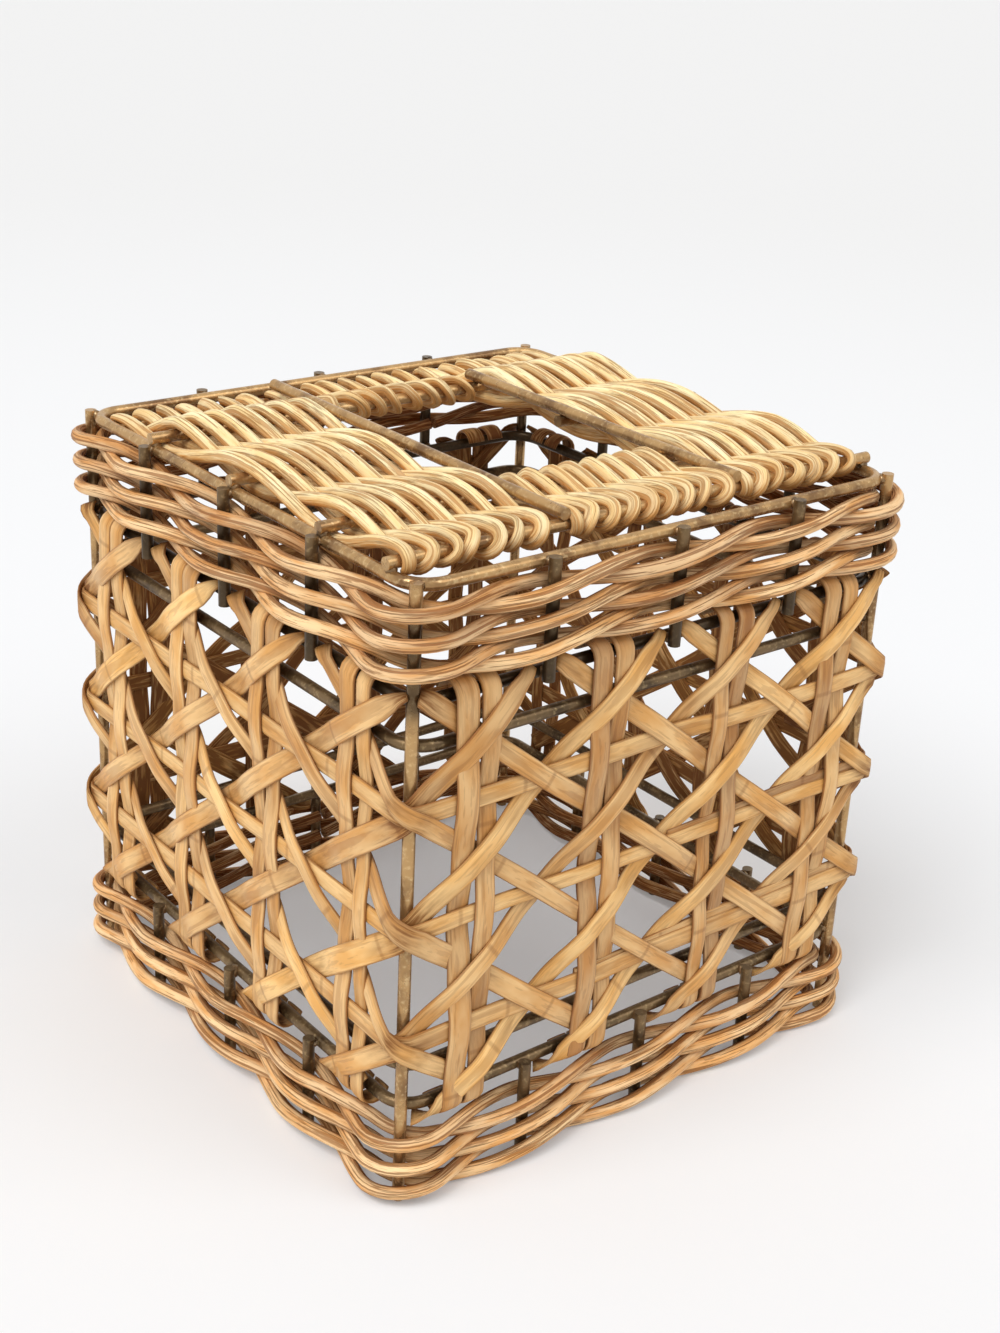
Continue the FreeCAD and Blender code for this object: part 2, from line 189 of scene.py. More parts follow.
@dataclass(frozen=True)
class StrandGrain:
    """Fibre lines, mottling, cut edges and joints that all rattan shares, and painted shade in the recesses
    and on the sides that face away.

    A span says where an effect starts and where it is full. A line is a factor and a base.
    """

    name: str = "StrandGrain"
    streaks: FibrePattern = FibrePattern(44.0, 2.5)
    fine: FibrePattern = FibrePattern(150.0, 4.4)
    mottle: FibrePattern = FibrePattern(75.0, 0.8)
    patches: FibrePattern = FibrePattern(22.0, 0.3, 2.0)
    shift_per_tone: float = 83.0
    mottle_span: Span = (0.32, 0.66)
    groove_span: Span = (0.47, 0.41)
    hair_span: Span = (0.44, 0.38)
    hair_share: float = 0.8
    rim_span: Span = (0.74, 0.98)
    joints_per_metre: float = 19.0
    joint_span: Span = (0.485, 0.497)
    joint_share: float = 0.6
    patch_span: Span = (0.5, 0.75)
    patch_share: float = 0.4
    painted_shade_line: Span = (4.5, -1.3)
    value_line: Span = (0.4, 0.78)
    hue_line: Span = (0.01, 0.494)
    fine_roughness: float = 0.35
    painted_shade_roughness: float = 0.35
    fine_relief: float = 0.4
    groove_relief: float = 0.6
    sockets: tuple[tuple[str, str, tuple[str, ...]], ...] = (
        ("INPUT", "NodeSocketColor", ("Painted Shade", "Dark", "Body", "Light")),
        ("INPUT", "NodeSocketFloat", ("Streak", "Edge", "Roughness")),
        ("OUTPUT", "NodeSocketColor", ("Color",)),
        ("OUTPUT", "NodeSocketFloat", ("Roughness", "Height")),
    )

    def group(self) -> bpy.types.NodeTree:
        """Return the shared node group, made once."""
        if self.name in bpy.data.node_groups:
            return bpy.data.node_groups[self.name]
        group = bpy.data.node_groups.new(self.name, "ShaderNodeTree")
        for direction, kind, labels in self.sockets:
            for label in labels:
                group.interface.new_socket(label, in_out=direction, socket_type=kind)
        tree = ShaderTree(group)
        given = group.nodes.new("NodeGroupInput").outputs
        result = group.nodes.new("NodeGroupOutput")
        place = tree.add("SeparateXYZ", {0: tree.add("UVMap", uv_map=UV_NAME).outputs[0]}).outputs
        tone = tree.add("Attribute", attribute_name=TONE_NAME).outputs["Fac"]
        painted_shade = tree.add("Attribute", attribute_name=PAINTED_SHADE_NAME).outputs["Fac"]
        along = place["X"]
        turn = tree.math("MULTIPLY", place["Y"], 2 * math.pi)
        side = tree.math("COSINE", turn)
        face = tree.math("SINE", turn)
        shift = tree.math("MULTIPLY", tone, self.shift_per_tone)

        def fibres(pattern: FibrePattern) -> Socket:
            """Return a pattern's noise, which differs from strand to strand by its tone.

            Args:
                pattern: How fast the noise changes.

            Returns:
                The value of the noise.
            """
            x = tree.math("MULTIPLY_ADD", along, pattern.lengthwise, shift)
            y = tree.math("MULTIPLY", side, pattern.around)
            z = tree.math("MULTIPLY", face, pattern.around)
            return tree.noise(tree.add("CombineXYZ", {0: x, 1: y, 2: z}).outputs[0], 1.0, pattern.detail)

        fine = fibres(self.fine)
        groove = tree.ramp(fibres(self.streaks), *self.groove_span)
        hair_line = tree.math("MULTIPLY", tree.ramp(fine, *self.hair_span), self.hair_share)
        lines = tree.math("MULTIPLY", tree.math("MAXIMUM", groove, hair_line), given["Streak"])
        rim = tree.ramp(tree.math("ABSOLUTE", side), *self.rim_span)
        joint = tree.math("MULTIPLY_ADD", along, self.joints_per_metre, shift)
        joint = tree.ramp(tree.math("PINGPONG", joint, 0.5), *self.joint_span)
        joint = tree.math("MULTIPLY", joint, self.joint_share)
        mark = tree.math("MULTIPLY", tree.math("MAXIMUM", rim, joint), given["Edge"])
        patch = tree.ramp(fibres(self.patches), *self.patch_span)
        patch = tree.math("MULTIPLY", patch, self.patch_share)
        # painted shade: the painted-shade attribute, broken up by the fine fibre noise, mixes the colour
        # towards the painted-shade colour
        darkening = tree.math("MULTIPLY", painted_shade, tree.math("MULTIPLY_ADD", fine, *self.painted_shade_line))
        mottle = tree.ramp(fibres(self.mottle), *self.mottle_span)
        color = tree.mix(mottle, given["Body"], given["Light"])
        for share in (lines, mark, patch):
            color = tree.mix(share, color, given["Dark"])
        color = tree.mix(darkening, color, given["Painted Shade"])
        hue = tree.math("MULTIPLY_ADD", tone, *self.hue_line)
        value = tree.math("MULTIPLY_ADD", tone, *self.value_line)
        shade = tree.add("HueSaturation", {"Hue": hue, "Value": value, "Color": color})
        uneven = tree.math("SUBTRACT", fine, NOISE_MIDDLE)
        rough = tree.math("MULTIPLY_ADD", uneven, self.fine_roughness, given["Roughness"])
        rough = tree.math("MULTIPLY_ADD", painted_shade, self.painted_shade_roughness, rough)
        raised = tree.math("MULTIPLY", fine, self.fine_relief)
        height = tree.math("SUBTRACT", raised, tree.math("MULTIPLY", groove, self.groove_relief))
        tree.feed(result, {"Color": shade.outputs[0], "Roughness": rough, "Height": height})
        return group


@dataclass(frozen=True)
class RattanFinish:
    """Look of one kind of rattan: its colours, how strong its lines and edges are, and its gloss."""

    slot: Slot
    # colour of the painted shade in the weave's recesses and on the sides that face away
    painted_shade_color: Color
    dark: Color
    body: Color
    light: Color
    streak: float
    edge: float = 0.0
    roughness: float = 0.48
    gloss: float = 0.15
    coat: float = 0.02
    coat_roughness: float = 0.3
    relief: float = 0.3 * MM
    bump_strength: float = 1.0

    def build(self) -> bpy.types.Material:
        """Return the material of this finish."""
        material, tree, shader = new_material(self.slot.value)
        given = {
            "Painted Shade": self.painted_shade_color,
            "Dark": self.dark,
            "Body": self.body,
            "Light": self.light,
            "Streak": self.streak,
            "Edge": self.edge,
            "Roughness": self.roughness,
        }
        grain = tree.add("Group", given, node_tree=StrandGrain().group()).outputs
        look = {
            "Base Color": grain["Color"],
            "Roughness": grain["Roughness"],
            "Normal": tree.bump(grain["Height"], self.bump_strength, self.relief),
            "Specular IOR Level": self.gloss,
            "Coat Weight": self.coat,
            "Coat Roughness": self.coat_roughness,
        }
        tree.feed(shader, look)
        return material


@dataclass(frozen=True)
class WireFinish:
    """Look of the bronzed wire and its welds: uneven lacquer with worn, lighter specks.

    Between two heights, inside the upper band, the wire gets painted shade.
    """

    name: str
    dark: Color
    body: Color
    worn: Color
    roughness: float
    metal: float
    relief: float = 0.05 * MM
    band_shade_color: Color = (0.035, 0.022, 0.01, 1.0)
    band_shade_share: float = 0.75
    band_shade_blend: float = 2.5 * MM
    blotch_scale: float = 150.0
    blotch_detail: float = 4.0
    blotch_span: Span = (0.3, 0.6)
    blotch_roughness: float = 0.4
    speck_scale: float = 1100.0
    speck_detail: float = 2.0
    speck_span: Span = (0.5, 0.75)
    speck_share: float = 0.45
    speck_relief: float = 0.5
    bump_strength: float = 0.5

    def build(self, band_shade_heights: Span | None = None) -> bpy.types.Material:
        """Make the material of this finish.

        Args:
            band_shade_heights: Heights between which the wire gets painted shade, or None.

        Returns:
            The new material.
        """
        material, tree, shader = new_material(self.name)
        place = tree.add("TexCoord").outputs["Object"]
        blotch = tree.noise(place, self.blotch_scale, self.blotch_detail)
        speck = tree.noise(place, self.speck_scale, self.speck_detail)
        color = tree.mix(tree.ramp(blotch, *self.blotch_span), self.dark, self.body)
        bare = tree.math("MULTIPLY", tree.ramp(speck, *self.speck_span), self.speck_share)
        color = tree.mix(bare, color, self.worn)
        # painted shade on the wire inside the upper band
        if band_shade_heights:
            low, high = band_shade_heights
            height = tree.add("SeparateXYZ", {0: place}).outputs["Z"]
            above = tree.ramp(height, low - self.band_shade_blend, low + self.band_shade_blend)
            below = tree.ramp(height, high + self.band_shade_blend, high - self.band_shade_blend)
            inside = tree.math("MULTIPLY", tree.math("MULTIPLY", above, below), self.band_shade_share)
            color = tree.mix(inside, color, self.band_shade_color)
        uneven = tree.math("SUBTRACT", blotch, NOISE_MIDDLE)
        raised = tree.math("ADD", blotch, tree.math("MULTIPLY", speck, self.speck_relief))
        look = {
            "Base Color": color,
            "Roughness": tree.math("MULTIPLY_ADD", uneven, self.blotch_roughness, self.roughness),
            "Metallic": self.metal,
            "Normal": tree.bump(raised, self.bump_strength, self.relief),
        }
        tree.feed(shader, look)
        return material


WIRE_FINISH = WireFinish(
    name=Slot.WIRE.value,
    dark=(0.22, 0.115, 0.046, 1.0),
    body=(0.52, 0.315, 0.13, 1.0),
    worn=(0.84, 0.62, 0.33, 1.0),
    roughness=0.27,
    metal=0.65,
)
SHADED_FINISH = WireFinish(
    name="bronzed_wire_shaded",
    dark=(0.07, 0.042, 0.018, 1.0),
    body=(0.2, 0.125, 0.055, 1.0),
    worn=(0.46, 0.33, 0.16, 1.0),
    roughness=0.36,
    metal=0.6,
)
WELD_FINISH = WireFinish(
    name="burnt_weld",
    dark=(0.06, 0.032, 0.015, 1.0),
    body=(0.28, 0.17, 0.08, 1.0),
    worn=(0.8, 0.65, 0.42, 1.0),
    roughness=0.3,
    metal=0.75,
    relief=0.25 * MM,
)
RATTAN_FINISHES = (
    RattanFinish(
        slot=Slot.CANE,
        painted_shade_color=(0.25, 0.1, 0.026, 1.0),
        dark=(0.26, 0.09, 0.02, 1.0),
        body=(0.77, 0.385, 0.105, 1.0),
        light=(0.94, 0.61, 0.27, 1.0),
        streak=0.3,
        edge=0.6,
        roughness=0.42,
        gloss=0.22,
        coat=0.06,
        relief=0.06 * MM,
    ),
    RattanFinish(
        slot=Slot.BAND,
        painted_shade_color=(0.19, 0.064, 0.015, 1.0),
        dark=(0.28, 0.098, 0.024, 1.0),
        body=(0.8, 0.395, 0.13, 1.0),
        light=(0.97, 0.67, 0.36, 1.0),
        streak=0.75,
    ),
    RattanFinish(
        slot=Slot.TOP,
        painted_shade_color=(0.62, 0.29, 0.085, 1.0),
        dark=(0.47, 0.19, 0.05, 1.0),
        body=(0.95, 0.7, 0.335, 1.0),
        light=(0.99, 0.88, 0.54, 1.0),
        streak=0.72,
    ),
)


# Swept strands


@dataclass(frozen=True)
class Section:
    """Outline of a strand: round, or flat inside and crowned outside.

    Painted shade deepens its colour on the sides that face away, between two values of how far they face out.
    """

    sides: int
    flat: bool
    unshaded_facing: float
    full_shade_facing: float
    wide_power: float = 0.55
    tall_power: float = 0.5
    crown_fall: float = 0.42
    back_height: float = 0.9

    def outline(self) -> Array:
        """Return points as shares of half the width (across) and half the thickness (out)."""
        turn = np.linspace(0.0, 2 * math.pi, self.sides + 1)
        across, out = np.cos(turn), np.sin(turn)
        if not self.flat:
            return np.stack([across, out], axis=1)
        wide = np.sign(across) * np.abs(across) ** self.wide_power
        tall = np.sign(out) * np.abs(out) ** self.tall_power
        crown = np.where(out > 0, 1.0 - self.crown_fall * wide**2, self.back_height)
        return np.stack([wide, tall * crown], axis=1)


BAND_ROUND = Section(sides=12, flat=False, unshaded_facing=0.3, full_shade_facing=-0.6)
TOP_ROUND = Section(sides=12, flat=False, unshaded_facing=0.65, full_shade_facing=-0.5)
FLAT = Section(sides=18, flat=True, unshaded_facing=0.1, full_shade_facing=-0.4)


def ease(value: Array, low: float, high: float) -> Array:
    """Return 0 up to low and 1 from high, with a smooth change between."""
    share = np.clip((value - low) / (high - low), 0.0, 1.0)
    return (1 - np.cos(math.pi * share)) / 2


def smooth_noise(count: int, knots: int, rng: random.Random) -> Array:
    """Return a slowly changing random series between about -1 and 1.

    Args:
        count: Number of values.
        knots: Number of random values that the series runs through.
        rng: Source of the random values.

    Returns:
        An array of count values.
    """
    values = np.array([rng.uniform(-1.0, 1.0) for _ in range(knots + 3)])
    place = np.linspace(1.0, knots + 1.0 - TINY, count)
    low = place.astype(int)
    share = place - low
    blend = share * share * (3 - 2 * share)
    return values[low] * (1 - blend) + values[low + 1] * blend


@dataclass(frozen=True)
class Wander:
    """A slow random change along a strand: its size and how many random values it runs through."""

    size: float
    knots: int

    def along(self, count: int, rng: random.Random) -> Array:
        """Return the change at each of count points."""
        return self.size * smooth_noise(count, self.knots, rng)


def directions(path: Array) -> Array:
    """Return the direction of a path at each of its points."""
    tangent = np.gradient(path, axis=0)
    return tangent / np.linalg.norm(tangent, axis=1, keepdims=True)


def carried_normals(path: Array, first: Array) -> Array:
    """Carry a normal along a path, so that it turns no more than the path does.

    Args:
        path: Points of the path.
        first: Normal to start from.

    Returns:
        The normal at each point.
    """
    normals = np.zeros_like(path)
    normal = first
    for number, direction in enumerate(directions(path)):
        normal = normal - direction * float(normal @ direction)
        normal = normal / np.linalg.norm(normal)
        normals[number] = normal
    return normals


def add_object(name: str, bm: bmesh.types.BMesh, material: bpy.types.Material) -> bpy.types.Object:
    """Turn a bmesh into an object of the scene.

    Args:
        name: Name of the object and its mesh.
        bm: The bmesh, which is freed.
        material: Material of the object.

    Returns:
        The new object.
    """
    mesh = bpy.data.meshes.new(name)
    bm.to_mesh(mesh)
    bm.free()
    mesh.materials.append(material)
    piece = bpy.data.objects.new(name, mesh)
    bpy.context.scene.collection.objects.link(piece)
    return piece


class StrandMesh:
    """Collects swept strands in one mesh, with UVs along and around each strand."""

    def __init__(self, name: str) -> None:
        """Start an empty mesh with the layers that the finishes read."""
        self.name = name
        self.bm = bmesh.new()
        self.uv = self.bm.loops.layers.uv.new(UV_NAME)
        self.tone = self.bm.verts.layers.float.new(TONE_NAME)
        self.painted_shade = self.bm.verts.layers.float.new(PAINTED_SHADE_NAME)

    def sweep(
        self,
        path: Array,
        out: Array,
        section: Section,
        width: Array,
        thickness: Array,
        tone: float,
        depth: Array,
        seen: Array,
    ) -> None:
        """Add one strand.

        Args:
            path: Points along the middle of the strand, in metres.
            out: Rough outward direction at each point.
            section: Outline of the strand.
            width: Full width at each point.
            thickness: Full thickness at each point.
            tone: Random number, mostly from 0 to 1, that sets the strand's shade.
            depth: Share of darkening from 0 to 1 at each point, mostly painted shade, higher where the strand
                lies deep in the weave.
            seen: Direction at each point from which the object is looked at; painted shade falls on the sides
                that face away from it.
        """
        tangent = directions(path)
        out = out - tangent * np.sum(out * tangent, axis=1, keepdims=True)
        out /= np.linalg.norm(out, axis=1, keepdims=True)
        across = np.cross(out, tangent)
        outline = section.outline()
        sideways = across[:, None, :] * outline[None, :, :1]
        outwards = out[:, None, :] * outline[None, :, 1:]
        points = path[:, None, :] + sideways * width[:, None, None] / 2
        points += outwards * thickness[:, None, None] / 2
        spoke = sideways + outwards
        # painted shade: sides that face away from seen, and points deep in the weave, get a higher
        # painted-shade value
        facing = np.sum(spoke * seen[:, None, :], axis=2) / np.linalg.norm(spoke, axis=2)
        turned = ease(-facing, -section.unshaded_facing, -section.full_shade_facing)
        painted_shade = 1 - (1 - depth[:, None]) * (1 - turned)
        steps = np.linalg.norm(np.diff(path, axis=0), axis=1)
        length = np.concatenate([[0.0], np.cumsum(steps)])
        segments, columns = len(path) - 1, section.sides + 1
        made = bmesh.ops.create_grid(self.bm, x_segments=section.sides, y_segments=segments, size=1.0)
        grid = made["verts"]
        for number, vert in enumerate(grid):
            row, column = divmod(number, columns)
            vert.co = points[row, column]
            vert[self.tone] = tone
            vert[self.painted_shade] = painted_shade[row, column]
            for loop in vert.link_loops:
                loop[self.uv].uv = (length[row], column / section.sides)
        rims = []
        for end in (grid[:columns], grid[-columns:]):
            inside = set(end)
            rims.append([edge for vert in end for edge in vert.link_edges if edge.other_vert(vert) in inside])
        seam = grid[::columns] + grid[section.sides :: columns]
        for rim in rims:
            bmesh.ops.contextual_create(self.bm, geom=list(set(rim)))
        bmesh.ops.remove_doubles(self.bm, verts=seam, dist=TINY)

    def finish(self, material: bpy.types.Material) -> bpy.types.Object:
        """Make the object of this mesh, smooth shaded.

        Args:
            material: Material of the strands.

        Returns:
            The new object.
        """
        bmesh.ops.recalc_face_normals(self.bm, faces=self.bm.faces[:])
        piece = add_object(self.name, self.bm, material)
        piece.data.shade_smooth()
        return piece


@dataclass(frozen=True)
class RoundedSquare:
    """A square line with round corners, measured from the middle of the front left corner."""

    half: float
    corner: float

    @property
    def straight(self) -> float:
        """Half the length of a straight side."""
        return self.half - self.corner

    @property
    def side(self) -> float:
        """Length from one corner's middle to the next."""
        return 2 * (self.straight + self.corner * math.pi / 4)

    def at(self, distance: Array, outward: Array) -> tuple[Array, Array]:
        """Find points and outward normals, both level, at distances along the line.

        Args:
            distance: Distances along the line.
            outward: How far each point lies outside the line.

        Returns:
            Points and normals, with a height of 0.
        """
        number = np.floor(distance / self.side)
        turn = number * math.pi / 2
        local = distance - (number + 0.5) * self.side
        past = np.clip(np.abs(local) - self.straight, 0.0, None)
        angle = np.sign(local) * past / self.corner
        reach = self.corner + outward
        along = np.clip(local, -self.straight, self.straight) + np.sin(angle) * reach
        out = self.straight + np.cos(angle) * reach
        x = along * np.cos(turn) + out * np.sin(turn)
        y = along * np.sin(turn) - out * np.cos(turn)
        level = np.zeros_like(distance)
        normals = np.stack([np.sin(angle + turn), -np.cos(angle + turn), level], axis=1)
        return np.stack([x, y, level], axis=1), normals


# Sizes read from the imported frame


@dataclass(frozen=True)
class Plan:
    """Places and sizes of the wire frame, in metres."""

    wire: float
    ring_half: float
    post_line: float
    stake_line: float
    rings: dict[str, float]
    rail_line: float
    spines: tuple[Span, ...]

    @property
    def lower_ring(self) -> float:
        """Height of the ring that the cane hooks under."""
        return self.rings["lower_ring"]

    @property
    def upper_ring(self) -> float:
        """Height of the ring that the cane hooks over."""
        return self.rings["upper_ring"]

    @property
    def ring_bend(self) -> float:
        """Radius of the rings' corners, measured to the middle of the wire."""
        return (self.ring_half + self.wire * math.sqrt(0.5) - self.post_line) / (1 - math.sqrt(0.5))

    @staticmethod
    def read() -> Plan:
        """Return the plan measured on the CAD nodes."""

        def middle(node: str) -> Vector:
            """Return the middle of a node's box."""
            low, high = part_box(node)
            return (low + high) / 2

        low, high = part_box("opening_rail_right")
        wire = high.x - low.x
        return Plan(
            wire=wire,
            ring_half=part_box("lower_ring")[1].x - wire / 2,
            post_line=middle("corner_post_back_right").x,
            stake_line=middle("lower_stakes_right").x,
            rings={name: middle(name).z for name in RINGS},
            rail_line=middle("opening_rail_right").x,
            spines=tuple((middle(f"top_spine_{name}").y, middle(f"top_spine_{name}").z) for name in SPINES),
        )


# Wire frame


@dataclass
class WireFrame:
    """The CAD wires, which keep their shapes and take the bronzed finish."""

    plan: Plan

    def build(self, nodes: dict[str, bpy.types.Object]) -> None:
        """Give every wire its material, with painted shade where the weave shelters it.

        Args:
            nodes: Objects of the CAD nodes by name.
        """
        band_shade_heights = (self.plan.upper_ring - self.plan.wire, self.plan.rings["top_ring"] - 2 * self.plan.wire)
        bright = WIRE_FINISH.build(band_shade_heights)
        shaded = SHADED_FINISH.build(band_shade_heights)
        for name, node in nodes.items():
            if not name.startswith(BRIGHT_WIRES + SHADED_WIRES):
                continue
            node.data.materials.clear()
            node.data.materials.append(bright if name.startswith(BRIGHT_WIRES) else shaded)
            log.info("%s: %s", name, node.data.materials[0].name)


@dataclass
class WeldBeads:
    """Small burnt beads where stakes, posts and spines are welded on."""

    plan: Plan
    rng: random.Random
    radius: float = 1.3 * MM
    stretch: Span = (0.8, 1.2)
    dents: Span = (-0.15, 0.15)

    def build(self) -> None:
        """Add the beads of all joints as one piece."""
        bm = bmesh.new()
        for place in self.joints():
            stretch = Vector([self.rng.uniform(*self.stretch) for _ in range(3)])
            matrix = Matrix.Translation(place) @ Matrix.Diagonal(stretch).to_4x4()
            bead = bmesh.ops.create_icosphere(bm, subdivisions=2, radius=self.radius, matrix=matrix)
            for vert in bead["verts"]:
                vert.co += (vert.co - place) * self.rng.uniform(*self.dents)
        piece = add_object("weld_beads", bm, WELD_FINISH.build())
        piece.data.shade_smooth()
        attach(piece, "root")
        log.info("%s: %d faces", piece.name, len(piece.data.polygons))

    def joints(self) -> list[Vector]:
        """Return the joints of stakes and posts with the rings, and of spines with the top ring."""
        plan = self.plan
        stake_out = plan.ring_half + plan.wire / 2
        post_out = plan.ring_half - plan.ring_bend + (plan.ring_bend + plan.wire / 2) * math.sqrt(0.5)
        spacing = plan.stake_line / 2
        places = []
        for number in range(len(SIDES)):
            turn = Matrix.Rotation(number * math.pi / 2, 3, "Z")
            for along in (-spacing, 0.0, spacing):
                for ring in STAKE_RINGS:
                    places.append(turn @ Vector((along, -stake_out, plan.rings[ring])))
            for height in plan.rings.values():
                places.append(turn @ Vector((-post_out, -post_out, height)))
        for line, height in plan.spines[:-1]:
            for sign in (-1, 1):
                places.append(Vector((sign * plan.ring_half, line, height - plan.wire / 2)))
        return places


# Woven parts


@dataclass
class Weave:
    """A sub-assembly of strands or strips that stand for CAD nodes."""

    plan: Plan
    materials: dict[Slot, bpy.types.Material]
    rng: random.Random

    def place(self, mesh: StrandMesh, slot: Slot, nodes: Iterable[str]) -> None:
        """Finish a mesh, hang it on the body and hide the CAD nodes that it stands for.

        Args:
            mesh: Mesh of the strands.
            slot: Material slot of the strands.
            nodes: CAD nodes that the piece stands for.
        """
        piece = mesh.finish(self.materials[slot])
        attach(piece, "root")
        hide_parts(*nodes)
        log.info("%s: %d faces", piece.name, len(piece.data.polygons))


@dataclass
class TwinedBands(Weave):
    """Two bands of three rows; each row is two strands that twist around the stakes."""

    strand: float = 2.95 * MM
    widths: Span = (0.94, 1.06)
    width_change: Wander = Wander(0.07, 24)
    stray_out: Wander = Wander(0.12 * MM, 70)
    stray_up: Wander = Wander(0.22 * MM, 40)
    tones: Span = (0.3, 0.9)
    deepest: float = 0.3
    step: float = 1.5 * MM
    places_per_side: int = 4
    first_stakes: tuple[int, int] = (9, 10)
    end_gap: float = 0.02

    def build(self) -> None:
        """Add the strands of both bands."""
        corner = (self.plan.stake_line - self.plan.post_line) / (1 - math.sqrt(0.5))
        line = RoundedSquare(self.plan.stake_line, corner)
        middle, spacing = line.side / 2, self.plan.stake_line / 2
        places = (0.0, middle - spacing, middle, middle + spacing)
        sides = range(2 * len(SIDES) + 1)
        stakes = np.array([side * line.side + place for side in sides for place in places])
        for band in ("upper", "lower"):
            for row in range(1, ROWS_PER_BAND + 1):
                for letter, first_out, first in zip("ab", (1.0, -1.0), self.first_stakes):
                    self.add_strand(f"{band}_band_row_{row}_{letter}", line, stakes, first_out, first)

    def add_strand(
        self, node: str, line: RoundedSquare, stakes: Array, first_out: float, first: int
    ) -> None:
        """Add one strand that winds half a turn from each stake to the next.

        Args:
            node: CAD node that the strand stands for.
            line: Line through the stakes and posts.
            stakes: Distances of the stakes and posts along the line.
            first_out: 1 where the strand passes outside even stakes, -1 where it passes inside them.
            first: Number of the stake where the strand starts.
        """
        low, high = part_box(node)
        height = (low.z + high.z) / 2
        rise = (high.z - low.z - self.strand) / 2
        reach = high.x - self.plan.stake_line - self.strand / 2
        last = first + len(SIDES) * self.places_per_side
        count = round(len(SIDES) * line.side / self.step)
        turn = np.linspace(first + self.end_gap, last - self.end_gap, count)
        distance = np.interp(turn, np.arange(len(stakes)), stakes)
        outward = first_out * reach * np.cos(math.pi * turn) + self.stray_out.along(count, self.rng)
        path, normal = line.at(distance, outward)
        path[:, 2] = height + first_out * rise * np.sin(math.pi * turn)
        path[:, 2] += self.stray_up.along(count, self.rng)
        width = self.strand * self.rng.uniform(*self.widths)
        widths = width * (1 + self.width_change.along(count, self.rng))
        # painted shade: the strand is darker where it passes on the inner side of the stakes
        depth = self.deepest * ease(-outward, -reach, reach)
        mesh = StrandMesh(f"strand_{node}")
        mesh.sweep(path, normal, BAND_ROUND, widths, widths, self.rng.uniform(*self.tones), depth, normal)
        self.place(mesh, Slot.BAND, [node])


